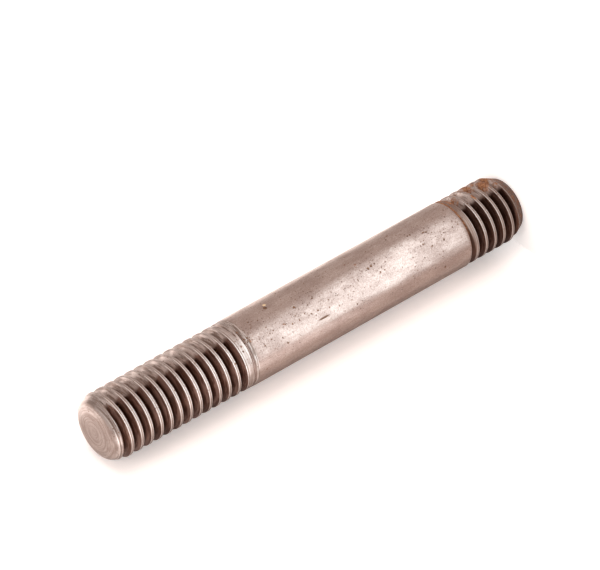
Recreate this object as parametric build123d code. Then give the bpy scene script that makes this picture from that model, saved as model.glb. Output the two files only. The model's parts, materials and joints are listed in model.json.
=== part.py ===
from build123d import *
from math import atan, ceil, cos, degrees, radians, tan
import os

# Double ended stud: one turned steel bar with a right-hand screw thread on each end.
# It stands on its short end, the metal end, with its axis on +Z and the nut end on top.
# Lengths are in millimetres. Angles about the axis are in degrees, counted from +X towards +Y.

# Plain shank, the full width of the bar
shank_diameter = 9.525
shank_length = 36.7

# Screw thread, the same on both ends: sixteen turns to the inch, with flat crests and sharp roots
thread_diameter = 9.42
pitch = 25.4 / 16
flank_angle = 30.0
crest_width = 0.4

# Metal end: the short thread, which is screwed for good into a tapped hole
metal_end_length = 10.1
metal_face_diameter = 7.7
metal_chamfer_length = 1.8

# Nut end: the long thread, with a crowned point that leads the nut on
nut_end_length = 23.4
nut_face_diameter = 5.4
nut_rim_diameter = 7.9
nut_crown_height = 0.42
nut_chamfer_length = 1.57

# Shoulders, over which the bar tapers from the shank to the crests of each thread
metal_shoulder_length = 0.56
nut_shoulder_length = 0.56

# Where the metal end's groove begins and ends: its distance from the end face and from the shank,
# the angle at which it begins, and the sweeps over which it fades in and out
metal_start_gap = 0.7
metal_start_angle = -6.6
metal_start_sweep = 60.0
metal_runout_gap = 0.11
metal_runout_sweep = 120.0

# The same for the nut end's groove, whose angle is that at its shank end
nut_runout_gap = 1.28
nut_runout_angle = -70.0
nut_runout_sweep = 100.0
nut_start_gap = 1.26
nut_start_sweep = 60.0

# Longest sweep of groove that is made as one stretch
longest_stretch = 1440.0

# Worked out from the sizes above
overall_length = metal_end_length + shank_length + nut_end_length
thread_radius = thread_diameter / 2
shank_radius = shank_diameter / 2
flank_slope = tan(radians(flank_angle))
thread_depth = (pitch - crest_width) / 2 / flank_slope
cutter_overshoot = crest_width / 8 / flank_slope
cutter_depth = thread_depth + cutter_overshoot


def turned_blank():
    """The bar before it is threaded, turned about +Z."""
    metal_end_top = metal_end_length
    nut_end_bottom = metal_end_length + shank_length
    rim_height = overall_length - nut_crown_height
    outline = [
        (0, 0),
        (metal_face_diameter / 2, 0),
        (thread_radius, metal_chamfer_length),
        (thread_radius, metal_end_top - metal_shoulder_length),
        (shank_radius, metal_end_top),
        (shank_radius, nut_end_bottom),
        (thread_radius, nut_end_bottom + nut_shoulder_length),
        (thread_radius, rim_height - nut_chamfer_length),
        (nut_rim_diameter / 2, rim_height),
        (nut_face_diameter / 2, overall_length),
        (0, overall_length),
    ]
    with BuildPart() as blank:
        with BuildSketch(Plane.XZ):
            with BuildLine():
                Polyline(*outline, close=True)
            make_face()
        revolve(axis=Axis.Z)
    return blank.part


def groove_spirals(start_angle, sweep, start_height, start_depth, end_depth):
    """The spirals at the corners of a stretch of groove: its root and the two edges of its mouth.

    A depth is that of the root under the crests. Where it changes, the whole section moves out or in.
    """
    rise = pitch * sweep / 360
    cone_angle = degrees(atan((start_depth - end_depth) / rise))
    spiral_pitch = pitch / cos(radians(cone_angle))
    root_radius = thread_radius - start_depth
    mouth_radius = root_radius + cutter_depth
    mouth_half = cutter_depth * flank_slope
    spirals = []
    for radius, offset in ((root_radius, 0), (mouth_radius, mouth_half), (mouth_radius, -mouth_half)):
        spiral = Helix(spiral_pitch, rise, radius, cone_angle=cone_angle)
        place = Location((0, 0, start_height + offset), (0, 0, start_angle))
        spirals.append((place * spiral).edge())
    return spirals


def groove(bottom, top, angle_at_bottom, fade_in, fade_out):
    """The solid to cut away between two heights, its depth fading in and out over the sweeps given."""
    full = (top - bottom) / pitch * 360 - fade_in - fade_out
    count = ceil(full / longest_stretch)
    sweeps = [(fade_in, 0, thread_depth)]
    sweeps += [(full / count, thread_depth, thread_depth)] * count
    sweeps += [(fade_out, thread_depth, 0)]
    stretches = []
    angle = angle_at_bottom
    height = bottom
    for sweep, start_depth, end_depth in sweeps:
        stretches.append(groove_spirals(angle, sweep, height, start_depth, end_depth))
        angle += sweep
        height += pitch * sweep / 360
    faces = []
    for spirals in stretches:
        for near, far in zip(spirals, spirals[1:] + spirals[:1]):
            faces.append(Face.make_surface_from_curves(near, far))
    faces.append(Face(Wire.make_polygon([spiral @ 0 for spiral in stretches[0]])))
    faces.append(Face(Wire.make_polygon([spiral @ 1 for spiral in stretches[-1]])))
    return Solid(Shell(faces))


def metal_end_groove():
    """Fading in on the chamfer of the end and out against the shank."""
    top = metal_end_length - metal_runout_gap
    return groove(metal_start_gap, top, metal_start_angle, metal_start_sweep, metal_runout_sweep)


def nut_end_groove():
    """Fading in beyond the shank and out on the chamfer of the point."""
    bottom = metal_end_length + shank_length + nut_runout_gap
    top = overall_length - nut_start_gap
    return groove(bottom, top, nut_runout_angle, nut_runout_sweep, nut_start_sweep)


stud = turned_blank() - metal_end_groove() - nut_end_groove()

stud.label = "stud"
os.makedirs("parts", exist_ok=True)
export_step(stud, "parts/stud.step")
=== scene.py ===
import json
from math import atan2, cos, hypot, pi, radians, sin, tan

import bmesh
import bpy
from mathutils import Matrix, Vector


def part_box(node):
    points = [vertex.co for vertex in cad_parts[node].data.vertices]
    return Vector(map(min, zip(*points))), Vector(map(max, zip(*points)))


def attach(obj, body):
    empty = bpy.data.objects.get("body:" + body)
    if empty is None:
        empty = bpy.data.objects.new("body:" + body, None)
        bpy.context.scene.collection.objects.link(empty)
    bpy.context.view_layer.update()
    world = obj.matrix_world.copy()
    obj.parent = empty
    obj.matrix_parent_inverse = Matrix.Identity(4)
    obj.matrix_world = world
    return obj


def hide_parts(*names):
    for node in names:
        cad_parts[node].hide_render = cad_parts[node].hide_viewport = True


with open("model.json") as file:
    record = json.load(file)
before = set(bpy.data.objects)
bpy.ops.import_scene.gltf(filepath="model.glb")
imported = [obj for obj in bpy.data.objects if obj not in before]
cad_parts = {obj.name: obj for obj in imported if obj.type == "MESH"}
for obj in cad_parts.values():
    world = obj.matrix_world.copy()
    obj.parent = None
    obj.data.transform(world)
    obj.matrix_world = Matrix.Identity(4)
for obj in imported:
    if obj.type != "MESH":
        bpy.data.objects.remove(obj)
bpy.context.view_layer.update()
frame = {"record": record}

# The camera stands where the photographer's stood: above the nut end, looking down along the stud.
# It is turned on its side, so that the stud lies across the picture as it does in the photograph.
camera_place = Vector((0.00377, -0.41618, 0.26702))
camera_fall = 29.27
camera_roll = -118.9
camera_data = bpy.data.cameras.new("camera")
camera_data.sensor_width = 36.0
camera_data.lens = 218.3
camera = bpy.data.objects.new("camera", camera_data)
bpy.context.scene.collection.objects.link(camera)
camera.matrix_world = (
    Matrix.Translation(camera_place)
    @ Matrix.Rotation(radians(90 - camera_fall), 4, "X")
    @ Matrix.Rotation(radians(camera_roll), 4, "Z")
)
bpy.context.scene.camera = camera
bpy.context.scene.view_settings.view_transform = "Standard"

# The sheet of white paper that the stud lay on in the photograph. Here it stands upright behind the
# stud, touches the shank and faces along paper_up. From behind, or by scattered light, it isn't there.
mounts = {mount["name"]: mount for mount in frame["record"]["mounts"]}
shank_radius = mounts["plain_shank"]["dims"]["r_mm"] / 1000
paper_up = Vector((0.6630, -0.7486, 0.0))
paper_across = Vector((-0.7486, -0.6630, 0.0))
warm_white = (0.86, 0.75, 0.70, 1)


def add_node(tree, kind, sockets, **settings):
    """A shader node with its settings made and each named socket linked or given its value."""
    node = tree.nodes.new("ShaderNode" + kind)
    for name, value in settings.items():
        setattr(node, name, value)
    for name, value in sockets.items():
        if isinstance(value, bpy.types.NodeSocket):
            tree.links.new(value, node.inputs[name])
        else:
            node.inputs[name].default_value = value
    return node


def ground_material(name, glow, upright):
    """Matt warm white that the camera, and the metal a tenth as much, see brighter than it is lit.

    An upright sheet can't be seen from behind, and it shines more in the few millimetres over the floor.
    """
    material = bpy.data.materials.new(name)
    material.use_nodes = True
    tree = material.node_tree
    tree.nodes.clear()
    path = add_node(tree, "LightPath", {}).outputs
    either = add_node(
        tree, "Math", {0: path["Is Glossy Ray"], 1: path["Is Transmission Ray"]}, operation="MAXIMUM",
    )
    mirrored = add_node(tree, "Math", {0: either.outputs[0], 1: glow * 0.1}, operation="MULTIPLY")
    seen = add_node(tree, "Math", {0: path["Is Camera Ray"], 1: glow}, operation="MULTIPLY")
    strength = add_node(tree, "Math", {0: seen.outputs[0], 1: mirrored.outputs[0]}, operation="MAXIMUM")
    if upright:
        place = add_node(tree, "TexCoord", {}).outputs["Object"]
        level = add_node(tree, "SeparateXYZ", {0: place}).outputs["Z"]
        low = add_node(
            tree, "MapRange",
            {"Value": level, "From Min": 0.0, "From Max": 0.007, "To Min": 1.7, "To Max": 1.0},
            interpolation_type="SMOOTHSTEP",
        )
        strength = add_node(
            tree, "Math", {0: strength.outputs[0], 1: low.outputs[0]}, operation="MULTIPLY",
        )
    matt = add_node(tree, "BsdfDiffuse", {"Color": warm_white})
    light = add_node(tree, "Emission", {"Strength": strength.outputs[0]})
    surface = add_node(tree, "AddShader", {0: matt.outputs[0], 1: light.outputs[0]})
    if upright:
        back = add_node(tree, "NewGeometry", {}).outputs["Backfacing"]
        clear = add_node(tree, "BsdfTransparent", {})
        surface = add_node(tree, "MixShader", {0: back, 1: surface.outputs[0], 2: clear.outputs[0]})
    add_node(tree, "OutputMaterial", {"Surface": surface.outputs[0]})
    return material


def flat_sheet(name, size, place, up):
    """A square sheet that faces along up."""
    sheet = bmesh.new()
    turn = up.to_track_quat("Z", "Y").to_matrix().to_4x4()
    bmesh.ops.create_grid(
        sheet, x_segments=1, y_segments=1, size=size / 2, matrix=Matrix.Translation(place) @ turn,
    )
    mesh = bpy.data.meshes.new(name)
    sheet.to_mesh(mesh)
    sheet.free()
    shape = bpy.data.objects.new(name, mesh)
    bpy.context.scene.collection.objects.link(shape)
    return shape


paper = flat_sheet("paper", 1.2, -paper_up * shank_radius, paper_up)
paper.data.materials.append(ground_material("white paper", 0.33, True))
paper.visible_diffuse = False
paper.visible_shadow = False

# The pale table top that the stud stands on, a plain matt board.
# It goes on past every view, so that no edge of it shows.
floor = flat_sheet("floor", 3.0, Vector((0, 0, 0)), Vector((0, 0, 1)))
floor.data.materials.append(ground_material("pale floor", 0.38, False))

# The room, white to the eye. What the metal mirrors of it is a little warm,
# and what it scatters on everything is plain white.
world = bpy.data.worlds.new("room")
bpy.context.scene.world = world
world.use_nodes = True
room = world.node_tree
room.nodes.clear()
room_path = add_node(room, "LightPath", {}).outputs
room_seen = add_node(room, "Background", {"Color": (1, 1, 1, 1), "Strength": 1.0})
room_mirrored = add_node(room, "Background", {"Color": (1.0, 0.88, 0.83, 1), "Strength": 0.75})
room_scattered = add_node(room, "Background", {"Color": (1, 1, 1, 1), "Strength": 0.58})
room_unseen = add_node(
    room, "MixShader",
    {0: room_path["Is Glossy Ray"], 1: room_scattered.outputs[0], 2: room_mirrored.outputs[0]},
)
room_light = add_node(
    room, "MixShader",
    {0: room_path["Is Camera Ray"], 1: room_unseen.outputs[0], 2: room_seen.outputs[0]},
)
add_node(room, "OutputWorld", {"Surface": room_light.outputs[0]})

# Two broad soft lamps light the stud and what is round it: one faces the paper and one the floor.
# The metal doesn't mirror either of them.
lamp_radiance = 4.4


def soft_light(name, place, towards, width, length, radiance, colour):
    """A rectangular lamp that shines along towards as brightly as the radiance says."""
    data = bpy.data.lights.new(name, "AREA")
    data.shape = "RECTANGLE"
    data.size = width
    data.size_y = length
    data.color = colour
    data.energy = radiance * pi * width * length
    lamp = bpy.data.objects.new(name, data)
    bpy.context.scene.collection.objects.link(lamp)
    facing = (-towards).to_track_quat("Z", "Y").to_matrix().to_4x4()
    lamp.matrix_world = Matrix.Translation(place) @ facing
    return lamp


lamp_offset = paper_up * 0.78 - paper_across * 0.15
over_paper = soft_light(
    "over_paper", lamp_offset + Vector((0, 0, 0.12)), -lamp_offset,
    width=0.5, length=0.5, radiance=lamp_radiance, colour=(1, 1, 1),
)
overhead = soft_light(
    "overhead", paper_up * 0.4 + Vector((0, 0, 0.85)), Vector((-0.27, 0.3, -0.85)),
    width=0.6, length=0.6, radiance=lamp_radiance, colour=(1, 1, 1),
)
over_paper.visible_glossy = False
overhead.visible_glossy = False

# Three light panels that only the metal sees, one on the floor before the stud and one on the paper
# to each side of it. They stand for the soft boxes that the stud mirrored along its whole length.
panel_lift = 0.0004
on_paper = paper_up * (panel_lift - shank_radius)
near_panel = soft_light(
    "near_panel", Vector((-0.0385, -0.0695, 0.0005)), Vector((0, 0, 1)),
    width=0.143, length=0.101, radiance=3.1, colour=(0.78, 0.93, 1),
)
far_panel = soft_light(
    "far_panel", on_paper - paper_across * 0.056 + Vector((0, 0, 0.066)), paper_up,
    width=0.096, length=0.13, radiance=1.0, colour=(1, 0.96, 0.94),
)
side_panel = soft_light(
    "side_panel", on_paper + paper_across * 0.052 + Vector((0, 0, 0.068)), paper_up,
    width=0.08, length=0.09, radiance=1.25, colour=(0.9, 0.96, 1),
)
for panel in (near_panel, far_panel, side_panel):
    panel.visible_camera = False
    panel.visible_diffuse = False

# The stud is one piece, turned from a bar of mild steel. Both threads are cut with a die, so their
# grooves fade out towards the shank. A chamfer on one end and a crowned point on the other lead it in.
# Lengths are in millimetres until the mesh is finished, and heights count from the metal end.
stud_low, stud_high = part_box("stud")
stud_length = (stud_high.z - stud_low.z) * 1000
shank_length = mounts["plain_shank"]["dims"]["length_mm"]
shank_middle = mounts["plain_shank"]["pos_m"][2] * 1000
shank_bottom = shank_middle - shank_length / 2
shank_top = shank_middle + shank_length / 2
shank = shank_radius * 1000
crest = mounts["nut_end_thread"]["dims"]["r_mm"]
pitch = 25.4 / 16
crest_width = 0.4
flank_slope = tan(radians(30))
groove_half = (pitch - crest_width) / 2
groove_depth = groove_half / flank_slope
steps_per_turn = 120
narrowest_mouth = 0.3

# Where each groove begins and ends, and the height at which a turn of it passes +X. By the shank it
# runs out at an angle that counts from +X towards -Y
nut_runout_angle = 70
nut_groove_bottom = shank_top + 1.28
nut_groove_top = stud_length - 1.26
nut_phase = nut_groove_bottom + nut_runout_angle / 360 * pitch
metal_runout_angle = 60
metal_groove_bottom = 0.7
metal_groove_top = shank_bottom - 0.11
metal_phase = metal_groove_top + metal_runout_angle / 360 * pitch

# Half of the thread's section, from the blunt root of the groove up the straight flank, over the
# rounded edge of the crest and down to the slight dip in its middle: along the stud, and below the crest
half_section = [(0.0, 0.945 * groove_depth), (0.035, 0.93 * groove_depth)]
half_section += [(along, groove_depth - along / flank_slope) for along in (0.07, 0.23, 0.39, 0.53)]
half_section += [(0.57, 0.042), (0.60, 0.010), (0.63, 0.0), (0.70, 0.018), (pitch / 2, 0.008)]


def threaded_length(bottom, top, groove_bottom, groove_top, phase, fade_in, fade_out, envelope):
    """A stretch of the stud with a right-hand groove spun round it, open at both ends.

    A turn of the groove passes +X at the height phase. It fades in above groove_bottom and out below
    groove_top, over the sweeps given in degrees, and the mouth narrows with it. Nothing stands out past
    the envelope.
    """
    thread = bmesh.new()
    section = [(-along, below) for along, below in reversed(half_section)] + half_section[1:]
    first = phase + pitch * (int((bottom - phase) / pitch) - 2)
    points = [thread.verts.new((crest - below, 0, first + along)) for along, below in section]
    chain = [thread.edges.new(pair) for pair in zip(points, points[1:])]
    bmesh.ops.spin(
        thread, geom=points + chain, cent=(0, 0, 0), axis=(0, 0, 1), angle=2 * pi,
        dvec=(0, 0, pitch / steps_per_turn), steps=steps_per_turn, use_duplicate=False,
    )
    one_turn = thread.verts[:] + thread.edges[:] + thread.faces[:]
    for turn in range(1, int((top - first) / pitch) + 3):
        copied = bmesh.ops.duplicate(thread, geom=one_turn)["geom"]
        moved = [item for item in copied if isinstance(item, bmesh.types.BMVert)]
        bmesh.ops.translate(thread, vec=(0, 0, turn * pitch), verts=moved)
    bmesh.ops.remove_doubles(thread, verts=thread.verts, dist=0.002)
    for vertex in thread.verts:
        x, y, z = vertex.co
        angle = atan2(y, x)
        along = (z - phase) / pitch - angle / (2 * pi)
        offset = (along - round(along)) * pitch
        centre = z - offset
        rising = (centre - groove_bottom) / pitch * 360 / fade_in
        falling = (groove_top - centre) / pitch * 360 / fade_out
        fade = max(0.0, min(1.0, rising, falling))
        radius = crest - (crest - hypot(x, y)) * fade
        mouth = groove_half * max(fade, narrowest_mouth)
        if abs(offset) <= groove_half:
            shifted = offset * mouth / groove_half
        else:
            share = (abs(offset) - groove_half) / (pitch / 2 - groove_half)
            shifted = mouth + share * (pitch / 2 - mouth)
            shifted = shifted if offset > 0 else -shifted
        vertex.co = (cos(angle) * radius, sin(angle) * radius, centre + shifted)
    for height, way in ((bottom, -1), (top, 1)):
        everything = thread.verts[:] + thread.edges[:] + thread.faces[:]
        bmesh.ops.bisect_plane(
            thread, geom=everything, plane_co=(0, 0, height), plane_no=(0, 0, way), dist=0.0001,
            clear_outer=True,
        )
    for vertex in thread.verts:
        x, y, z = vertex.co
        shrink = min(1.0, envelope(z) / hypot(x, y))
        vertex.co = (x * shrink, y * shrink, z)
    return thread


# The crowned point of the nut end, from its chamfer over the rim to its flat: radius and distance
# from the end
nut_point = [(crest, 1.99), (4.24, 0.90), (4.14, 0.70), (4.02, 0.54), (3.86, 0.40)]
nut_crown = [(3.68, 0.29), (3.46, 0.19), (3.20, 0.115), (2.95, 0.065), (2.74, 0.03), (2.6, 0.008)]
nut_crown += [(2.45, 0), (1.6, 0), (0.8, 0), (0.3, 0)]
nut_rim_height = stud_length - nut_point[-1][1]
metal_rim = 3.85
metal_chamfer_length = 1.8
metal_neck_length = 0.4
metal_neck_depth = 0.06


def nut_end_envelope(z):
    """The widest that the nut end may be at a height."""
    distance = stud_length - z
    for (wide, far), (narrow, near) in zip(nut_point, nut_point[1:]):
        if distance >= near - 0.001:
            return min(wide, narrow + (wide - narrow) * (distance - near) / (far - near))
    return narrow


def metal_end_envelope(z):
    """The widest that the metal end may be at a height."""
    widest = crest - metal_neck_depth if z > shank_bottom - metal_neck_length else crest
    return min(widest, metal_rim + (crest - metal_rim) * z / metal_chamfer_length)


def open_loop(mesh, height):
    """The edges of the open rim that lies at a height."""
    return [
        edge for edge in mesh.edges
        if edge.is_boundary and all(abs(vertex.co.z - height) < 0.005 for vertex in edge.verts)
    ]


def drawn_on(mesh, loop, rings):
    """Carries an open rim on through rings of the radius and height given, and returns the last rim."""
    for radius, height in rings:
        made = bmesh.ops.extrude_edge_only(mesh, edges=loop)["geom"]
        loop = [item for item in made if isinstance(item, bmesh.types.BMEdge) and item.is_boundary]
        for vertex in {vertex for edge in loop for vertex in edge.verts}:
            angle = atan2(vertex.co.y, vertex.co.x)
            vertex.co = (radius * cos(angle), radius * sin(angle), height)
    return loop


# The metal end, closed by its flat face
metal_thread_top = shank_bottom - 0.02
metal_end = threaded_length(
    0, metal_thread_top, metal_groove_bottom, metal_groove_top, metal_phase,
    fade_in=60, fade_out=120, envelope=metal_end_envelope,
)
foot = [(metal_rim - 0.02, 0), (3.0, 0), (1.5, 0), (0.4, 0)]
bmesh.ops.contextual_create(metal_end, geom=drawn_on(metal_end, open_loop(metal_end, 0), foot))
metal_end_shape = bpy.data.meshes.new("metal_end")
metal_end.to_mesh(metal_end_shape)
metal_end.free()

# The nut end, carried on over the neck with its two fine tool grooves, down the shank, and over the
# crown. The neck's rings are given by their depth below the crests and their height above the shank,
# and the shoulder's by their depth below the shank's surface and the same height
nut_land_bottom = shank_top + 0.98
turned_stud = threaded_length(
    nut_land_bottom, nut_rim_height, nut_groove_bottom, nut_groove_top, nut_phase,
    fade_in=100, fade_out=60, envelope=nut_end_envelope,
)
neck = [(0, 0.93), (0.07, 0.90), (0.07, 0.81), (0.012, 0.78), (0.012, 0.74), (0.06, 0.71)]
neck += [(0.06, 0.63), (0, 0.60), (-0.012, 0.40)]
shoulder = [(0.012, 0.05), (0.008, 0)]
edge_length = 0.03
edge_depth = 0.02
ring_count = 100
ring_gap = (shank_length - 2 * edge_length) / ring_count
shank_rings = [(crest - below, shank_top + above) for below, above in neck]
shank_rings += [(shank - below, shank_top + above) for below, above in shoulder]
shank_rings += [(shank, shank_top - edge_length - step * ring_gap) for step in range(ring_count + 1)]
shank_rings += [(shank - edge_depth, shank_bottom)]
drawn_on(turned_stud, open_loop(turned_stud, nut_land_bottom), shank_rings)
crown = [(radius, stud_length - distance) for radius, distance in nut_crown]
crown_end = drawn_on(turned_stud, open_loop(turned_stud, nut_rim_height), crown)
bmesh.ops.contextual_create(turned_stud, geom=crown_end)

# Both joined to one closed skin, and made metres
turned_stud.from_mesh(metal_end_shape)
meeting = open_loop(turned_stud, shank_bottom) + open_loop(turned_stud, metal_thread_top)
bmesh.ops.bridge_loops(turned_stud, edges=meeting)
bmesh.ops.recalc_face_normals(turned_stud, faces=turned_stud.faces)
bmesh.ops.scale(turned_stud, vec=(0.001, 0.001, 0.001), verts=turned_stud.verts)
stud_shape = bpy.data.meshes.new("turned_stud")
turned_stud.to_mesh(stud_shape)
turned_stud.free()
stud_shape.shade_smooth()

# How deep each point lies below the crests or the chamfers, kept with the mesh for the dirt, the painted
# shade and the shine
depth_below = stud_shape.attributes.new("depth", "FLOAT", "POINT")
for vertex in stud_shape.vertices:
    x, y, z = vertex.co * 1000
    widest = hypot(x, y)
    if shank_top + 0.4 < z < nut_rim_height + 0.001:
        widest = nut_end_envelope(z)
    elif 0.001 < z < shank_bottom - 0.3:
        widest = metal_end_envelope(z)
    depth_below.data[vertex.index].value = widest - hypot(x, y)
stud = bpy.data.objects.new("turned_stud", stud_shape)
bpy.context.scene.collection.objects.link(stud)

# Its steel, dulled by age. Colours are of the metal, apart from the painted light and shade on the
# threads, and every pattern is measured in millimetres.
steel = bpy.data.materials.new("worn_steel")
steel.use_nodes = True
tree = steel.node_tree
surface = tree.nodes["Principled BSDF"]


def maths(operation, *values, clamp=False):
    """The result of a sum on node outputs and numbers."""
    node = add_node(tree, "Math", dict(enumerate(values)), operation=operation, use_clamp=clamp)
    return node.outputs[0]


def product(*values):
    """Node outputs and numbers multiplied together."""
    result = values[0]
    for value in values[1:]:
        result = maths("MULTIPLY", result, value)
    return result


def total(*values):
    """Node outputs and numbers added up."""
    result = values[0]
    for value in values[1:]:
        result = maths("ADD", result, value)
    return result


def greatest(*values):
    """The greatest of some node outputs."""
    result = values[0]
    for value in values[1:]:
        result = maths("MAXIMUM", result, value)
    return result


def mixed(share, first, second):
    """A colour between two colours."""
    node = add_node(tree, "Mix", {"Factor": share}, data_type="RGBA")
    for socket, colour in (("A", first), ("B", second)):
        target = [item for item in node.inputs if item.name == socket and item.type == "RGBA"][0]
        if isinstance(colour, bpy.types.NodeSocket):
            tree.links.new(colour, target)
        else:
            target.default_value = (*colour, 1)
    return [item for item in node.outputs if item.type == "RGBA"][0]


def ramp(value, low, high, start=0.0, end=1.0):
    """A smooth change from start to end as a value goes from low to high."""
    node = add_node(
        tree, "MapRange",
        {"Value": value, "From Min": low, "From Max": high, "To Min": start, "To Max": end},
        interpolation_type="SMOOTHSTEP",
    )
    return node.outputs["Result"]


def grain(vector, scale, detail=2.0, roughness=0.5):
    """Noise from 0 to 1."""
    node = add_node(
        tree, "TexNoise", {"Vector": vector, "Scale": scale, "Detail": detail, "Roughness": roughness},
    )
    return node.outputs["Fac"]


def sway(noise, width):
    """Noise made a shift of up to half the width either way."""
    return maths("MULTIPLY_ADD", noise, width, -width / 2)


# Where a place lies: its height, its distance from the axis, and how deep it is below the crests
metres = add_node(tree, "TexCoord", {}).outputs["Object"]
place = add_node(tree, "VectorMath", {0: metres, "Scale": 1000.0}, operation="SCALE").outputs[0]
axes = add_node(tree, "SeparateXYZ", {0: place}).outputs
radius = maths("SQRT", total(product(axes["X"], axes["X"]), product(axes["Y"], axes["Y"])))
height = axes["Z"]
depth = add_node(tree, "Attribute", {}, attribute_name="depth").outputs["Fac"]


def stretched(along):
    """Places for a pattern that is drawn out along the stud where along is under 1."""
    node = add_node(tree, "VectorMath", {0: place, 1: (1.0, 1.0, along)}, operation="MULTIPLY")
    return node.outputs[0]


def reach(x, y):
    """How far a place lies out in a direction square to the stud."""
    node = add_node(tree, "VectorMath", {0: place, 1: (x, y, 0)}, operation="DOT_PRODUCT")
    return node.outputs["Value"]


# The two ends, told apart at the middle of the shank, and the lengths that are threaded
on_nut_end = maths("GREATER_THAN", height, shank_middle)
on_metal_end = maths("SUBTRACT", 1.0, on_nut_end)
below_shank = ramp(height, shank_bottom - 0.3, shank_bottom - 0.1, 1, 0)
above_shank = ramp(height, shank_top, shank_top + 0.08)
on_thread = total(below_shank, above_shank)
in_groove = product(on_thread, ramp(depth, 0.012, 0.06))

# Where a place lies across the screw's groove: 0 along the root, and the same all along a helix
screw_phase = total(product(on_nut_end, nut_phase - metal_phase), metal_phase)
turns = maths("DIVIDE", maths("SUBTRACT", height, screw_phase), pitch)
turns = maths("SUBTRACT", turns, maths("DIVIDE", maths("ARCTAN2", axes["Y"], axes["X"]), 2 * pi))
across = product(maths("SUBTRACT", maths("FRACT", total(turns, 0.5)), 0.5), pitch)
from_root = maths("ABSOLUTE", across)

# Fine lines of the lathe, which run round the stud, and of the die, which run along the screw
lathe_line = total(height, radius)
die_line = maths("MULTIPLY_ADD", lathe_line, 0.2, across)
line = total(lathe_line, product(in_groove, maths("SUBTRACT", die_line, lathe_line)))
line_place = add_node(tree, "CombineXYZ", {
    "X": product(axes["X"], 0.055), "Y": product(axes["Y"], 0.055), "Z": line,
}).outputs[0]
turned = grain(line_place, 5.5, 3.0, 0.65)
turned_fine = grain(line_place, 16.0, 1.0)

# Streaks along the bar from its drawing, blotches of dulled metal, and grain from coarse to fine
streaks = grain(stretched(0.13), 1.9, 4.0, 0.62)
blotches = grain(stretched(0.45), 0.55, 4.0, 0.6)
ragged = grain(place, 2.2, 3.0, 0.6)
speckle = grain(place, 4.5, 3.0, 0.6)
fine_grain = grain(place, 7.5, 2.0, 0.6)

# The shank: mottled grey with brown streaks, dark grain and bright flecks
burnished = (0.60, 0.53, 0.50)
plain_steel = mixed(ramp(blotches, 0.36, 0.66), (0.42, 0.335, 0.30), (0.345, 0.262, 0.232))
plain_steel = mixed(ramp(streaks, 0.35, 0.7, 0, 0.5), plain_steel, (0.30, 0.22, 0.19))
plain_steel = mixed(ramp(speckle, 0.52, 0.72, 0, 0.45), plain_steel, (0.22, 0.155, 0.13))
plain_steel = mixed(ramp(fine_grain, 0.5, 0.7, 0, 0.4), plain_steel, (0.21, 0.15, 0.125))
plain_steel = mixed(ramp(fine_grain, 0.3, 0.45, 0.35, 0), plain_steel, burnished)

# Steel rubbed bright, on the crests and the point
bright_steel = mixed(ramp(turned, 0.40, 0.60), burnished, (0.38, 0.31, 0.28))
bright_steel = mixed(ramp(speckle, 0.5, 0.7, 0, 0.45), bright_steel, (0.28, 0.20, 0.17))
bright_steel = mixed(ramp(blotches, 0.5, 0.7, 0, 0.4), bright_steel, (0.36, 0.28, 0.25))

# Painted light and shade in the grooves: lighter on the side that lies 10 degrees from +X towards -Y,
# darker elsewhere and darkest on the metal end, with painted shade along the roots
lit_side = total(maths("DIVIDE", reach(0.985, -0.174), radius), sway(ragged, 0.10), sway(turned, 0.3))
groove_shade = ramp(lit_side, 0.60, 0.73, 1, 0)
lit_groove = mixed(ramp(turned, 0.43, 0.60), (0.68, 0.60, 0.565), (0.32, 0.25, 0.22))
shaded_groove = mixed(ramp(turned, 0.40, 0.60), (0.30, 0.195, 0.163), (0.13, 0.07, 0.052))
shaded_groove = mixed(product(on_metal_end, 0.7), shaded_groove, (0.04, 0.013, 0.007))
groove_steel = mixed(groove_shade, lit_groove, shaded_groove)
# Painted shade along the roots, heavier on the shaded side
root_shade = product(on_thread, ramp(depth, 0.4, 0.95), maths("MULTIPLY_ADD", groove_shade, 0.8, 0.15))
groove_steel = mixed(root_shade, groove_steel, (0.05, 0.02, 0.011))

# Painted highlights along both edges of the crests, weaker on the lower one and on the metal end, and
# painted shade in their middle, on their lower half, on the metal end and on the side 10 degrees from +X
# towards -Y
lower_half = ramp(across, -0.02, 0.02)
crest_shade = maths("MULTIPLY_ADD", on_metal_end, 0.3, product(lower_half, 0.45))
crest_shade = greatest(ramp(from_root, 0.69, 0.72, 0, 0.8), crest_shade)
crest_steel = mixed(crest_shade, bright_steel, (0.24, 0.175, 0.15))
painted_crest_glint = product(ramp(from_root, 0.585, 0.61), ramp(from_root, 0.665, 0.70, 1, 0))
painted_crest_glint = product(
    painted_crest_glint,
    maths("MULTIPLY_ADD", on_metal_end, -0.25, 0.75),
    maths("MULTIPLY_ADD", lower_half, -0.6, 1.0),
)
# Near-white painted highlight on the crest edges
crest_steel = mixed(painted_crest_glint, crest_steel, (0.80, 0.75, 0.72))
unlit_crest = mixed(ramp(turned, 0.42, 0.60), (0.50, 0.43, 0.40), (0.28, 0.22, 0.195))
# Painted shade over the crests on the side where the grooves are painted lighter
crest_steel = mixed(ramp(lit_side, 0.74, 0.86), crest_steel, unlit_crest)

# The land by the shank, the chamfers and the ends have no crest, only the lines of the lathe
on_land = ramp(height, shank_top + 0.95, shank_top + 1.2, 1, 0)
on_point = ramp(height, nut_rim_height - 0.3, nut_rim_height)
has_crest = product(maths("SUBTRACT", 1.0, on_point), maths("SUBTRACT", 1.0, on_land))
has_crest = greatest(has_crest, product(on_metal_end, ramp(height, 0.5, 0.9)))
land_steel = mixed(ramp(turned, 0.42, 0.58), (0.50, 0.43, 0.40), (0.22, 0.165, 0.14))
point_steel = mixed(0.3, bright_steel, (0.27, 0.21, 0.185))
land_steel = mixed(on_point, land_steel, point_steel)
crest_steel = mixed(has_crest, land_steel, crest_steel)
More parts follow.
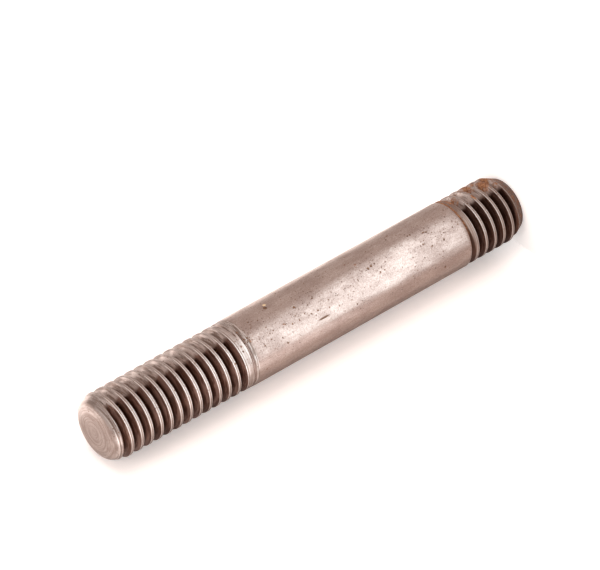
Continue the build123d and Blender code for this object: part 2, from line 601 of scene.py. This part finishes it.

# All of it together, with painted shade on the threads, but not the end faces, along the side 10 degrees
# from +X towards +Y
colour = mixed(on_thread, plain_steel, crest_steel)
colour = mixed(in_groove, colour, groove_steel)
edge_shade = ramp(maths("DIVIDE", reach(0.985, 0.174), radius), 0.84, 0.96, 0, 0.75)
off_ends = product(ramp(height, 0.1, 0.6), ramp(height, stud_length - 2.2, stud_length - 1.0, 1, 0))
colour = mixed(product(edge_shade, off_ends, on_thread), colour, (0.15, 0.115, 0.10))


def spot(z, t, along, around, edge=0.35, rag=0.5):
    """1 inside a blotch centred t degrees round from +X towards -Y at height z, and 0 outside it.

    It reaches as far as along and around say, its edge is that share of its size, and rag frays it.
    """
    centre = (shank * cos(radians(t)), -shank * sin(radians(t)), z)
    offset = add_node(tree, "VectorMath", {0: place, 1: centre}, operation="SUBTRACT").outputs[0]
    shrunk = (1 / around, 1 / around, 1 / along)
    scaled = add_node(tree, "VectorMath", {0: offset, 1: shrunk}, operation="MULTIPLY").outputs[0]
    size = add_node(tree, "VectorMath", {0: scaled}, operation="LENGTH").outputs["Value"]
    return ramp(total(size, sway(ragged, rag * 2)), 1 - edge, 1 + edge, 1, 0)


def spots(places, **settings):
    """Several blotches as one mask."""
    return greatest(*[spot(*one, **settings) for one in places])


# Pits: the larger ones one by one, and small ones in the cells of three cell patterns, from coarse to
# fine. A share of the cells stays empty, and the pits are largest where the stud lay damp
damp = ramp(total(reach(0.11, -0.18), sway(blotches, 1.2)), -0.3, 0.8, 0.3, 1.1)
damp = total(damp, product(ramp(reach(0.30, -0.954), 4.35, 4.68, 0, 0.3), ramp(blotches, 0.35, 0.6)))
pits = spots([
    (26.2, 73.5, 0.17, 0.19), (25.6, 72, 0.15, 0.16), (14.9, 136.4, 0.16, 0.17),
    (15.6, 67.2, 0.13, 0.13), (20.2, 35.4, 0.16, 0.16), (24.9, 88, 0.12, 0.15),
    (41.86, 45.6, 0.26, 0.24), (45.2, 101, 0.14, 0.12), (47.4, 76, 0.14, 0.14),
    (51.2, 121, 0.3, 0.3), (66.84, 37.5, 0.15, 0.2), (65.67, 35.5, 0.15, 0.2),
    (62.6, 41, 0.14, 0.14), (69.5, 8.5, 0.13, 0.3), (69.5, 31, 0.12, 0.35), (69.3, 22, 0.12, 0.25),
], edge=0.3, rag=0.6)
wander = add_node(tree, "TexNoise", {"Vector": place, "Scale": 3.0, "Detail": 2.0}).outputs["Color"]
wander = add_node(
    tree, "VectorMath", {0: wander, 1: (0.3, 0.3, 0.3), 2: place}, operation="MULTIPLY_ADD",
).outputs[0]
for scale, empty, largest in ((1.1, 0.6, 0.14), (2.3, 0.0, 0.09), (4.2, 0.0, 0.06)):
    cells = add_node(tree, "TexVoronoi", {"Vector": wander, "Scale": scale, "Randomness": 1.0})
    draw = add_node(tree, "SeparateColor", {0: cells.outputs["Color"]}).outputs[0]
    width = product(ramp(draw, empty, 1.0, 0.0, largest * scale), damp)
    width = product(width, maths("MULTIPLY_ADD", ragged, 1.6, 0.2))
    inside = maths("SUBTRACT", width, cells.outputs["Distance"])
    pits = greatest(pits, maths("DIVIDE", inside, 0.035 * scale, clamp=True))
pit_colour = mixed(ramp(speckle, 0.42, 0.56), (0.10, 0.05, 0.03), (0.26, 0.125, 0.06))
colour = mixed(product(pits, 0.75), colour, pit_colour)

# Knocks: dark marks on the rim of the point, a scratch along the shank and a chip with bare metal
rim_marks = spots([
    (69.35, 80, 0.1, 0.8), (69.15, 90, 0.09, 0.9), (69.6, 96, 0.1, 0.6), (69.55, 72, 0.08, 0.5),
], edge=0.5, rag=1.0)
colour = mixed(product(rim_marks, 0.45), colour, (0.12, 0.06, 0.035))
scratch = spot(35.5, 107.8, 0.88, 0.14, edge=0.35, rag=0.2)
colour = mixed(scratch, colour, (0.12, 0.07, 0.05))
chip = spot(41.5, 38.2, 0.24, 0.22, edge=0.25, rag=0.4)
colour = mixed(chip, colour, (0.85, 0.66, 0.42))

# Dirt in the corner by the shank and on the chamfer of the metal end
corner_dirt = ramp(height, shank_bottom - 1.3, shank_bottom - 0.8, 0, 0.8)
corner_dirt = product(corner_dirt, ramp(height, shank_bottom - 0.1, shank_bottom, 1, 0))
colour = mixed(corner_dirt, colour, (0.17, 0.105, 0.08))
colour = mixed(ramp(height, 1.2, 1.7, 0.55, 0), colour, (0.13, 0.07, 0.05))

# Rust: patches on the metal end, a line in the corner by the shank, the rim and a few specks
rust_patches = spots([
    (8.7, 34, 0.8, 1.2), (5.4, 22, 0.8, 1.3), (5.9, 52, 0.35, 0.45), (3.3, 36, 0.8, 1.2),
    (1.6, 20, 1.0, 1.3), (2.0, 50, 0.5, 0.7), (7.2, 15, 0.6, 0.9), (4.2, 8, 0.9, 0.9),
    (9.3, 12, 0.5, 0.9), (6.9, 215, 0.8, 1.2), (3.1, 260, 0.9, 1.2), (8.6, 300, 0.6, 1.0),
], edge=0.35, rag=1.0)
rust_specks = spots([
    (48.3, 84, 0.13, 0.13), (47.5, 60, 0.12, 0.2), (46.8, 83, 0.14, 0.3), (41.3, 85.6, 0.22, 0.1),
    (45.7, 140, 0.15, 0.15), (39.0, 92, 0.1, 0.13), (27.3, 57, 0.2, 0.16), (28.4, 47, 0.14, 0.12),
], edge=0.4, rag=0.8)
corner_rust = product(
    ramp(height, shank_bottom - 0.42, shank_bottom - 0.3),
    ramp(height, shank_bottom - 0.12, shank_bottom, 1, 0),
    ramp(ragged, 0.32, 0.5),
)
rim_rust = product(ramp(height, 0.9, 1.5, 1, 0), ramp(ragged, 0.45, 0.6), 0.7)
rust = greatest(rust_patches, corner_rust, rim_rust, product(rust_specks, 0.75))
rust_colour = mixed(ramp(speckle, 0.4, 0.6), (0.34, 0.15, 0.07), (0.16, 0.06, 0.028))
colour = mixed(rust, colour, rust_colour)

# The shine is drawn out along the stud, because the fine lines run round it. Rust has none.
around_stud = add_node(tree, "Tangent", {}, direction_type="RADIAL", axis="Z")
surface.inputs["Anisotropic"].default_value = 0.5
surface.inputs["Anisotropic Rotation"].default_value = 0.25
dullness = total(
    ramp(blotches, 0.36, 0.66, 0.33, 0.43), ramp(speckle, 0.3, 0.7, -0.03, 0.05),
    product(pits, 0.25), product(rust, 0.4),
)
tree.links.new(around_stud.outputs[0], surface.inputs["Tangent"])
tree.links.new(colour, surface.inputs["Base Color"])
tree.links.new(ramp(rust, 0.2, 0.9, 1.0, 0.15), surface.inputs["Metallic"])
tree.links.new(dullness, surface.inputs["Roughness"])

# The relief, in millimetres
line_height = maths("MULTIPLY_ADD", on_thread, 0.016, 0.002)
relief = total(
    product(turned, line_height), product(turned_fine, line_height, 0.25),
    product(streaks, 0.010), product(speckle, 0.006),
    product(pits, -0.03), product(scratch, -0.03), product(chip, 0.05),
    product(rust, ragged, 0.06),
)
bump = add_node(tree, "Bump", {"Height": relief, "Distance": 0.001, "Strength": 1.0})
tree.links.new(bump.outputs[0], surface.inputs["Normal"])
stud_shape.materials.append(steel)

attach(stud, "root")
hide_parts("stud")

# The scene brought up to date
bpy.context.view_layer.update()
